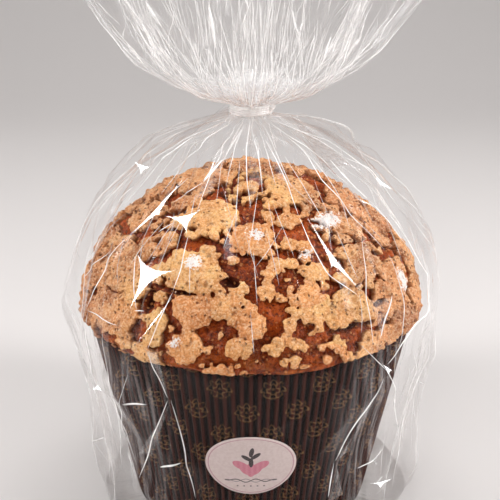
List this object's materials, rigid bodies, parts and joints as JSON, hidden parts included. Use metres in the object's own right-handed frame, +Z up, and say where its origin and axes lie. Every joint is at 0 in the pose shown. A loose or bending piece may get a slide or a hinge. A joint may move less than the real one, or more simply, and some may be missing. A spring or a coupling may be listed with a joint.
{
  "type": "panettone in a gift bag",
  "caption": "Domed sweet loaf with a crackled crust in a fluted paper case, inside a clear film bag tied at the neck with a flared mouth.",
  "frame": {"origin": "middle of the paper case's flat underside, on the surface that the panettone stands on", "axes": "+Z up through the neck of the bag, -Y to the front with the oval label, +X to the right as seen from the front"},
  "size_m": [0.1989, 0.1892, 0.2989],
  "materials": {
    "baked_crust": "matt, crackled",
    "case_paper": "satin print",
    "label_paper": "satin",
    "clear_film": "glossy, clear",
    "tie_plastic": "clear, glossy"
  },
  "bodies": {
    "root": {"bread": "baked_crust", "case": "case_paper", "label": "label_paper", "bag": "clear_film", "mouth": "clear_film", "tie": "tie_plastic"}
  },
  "joints": []
}
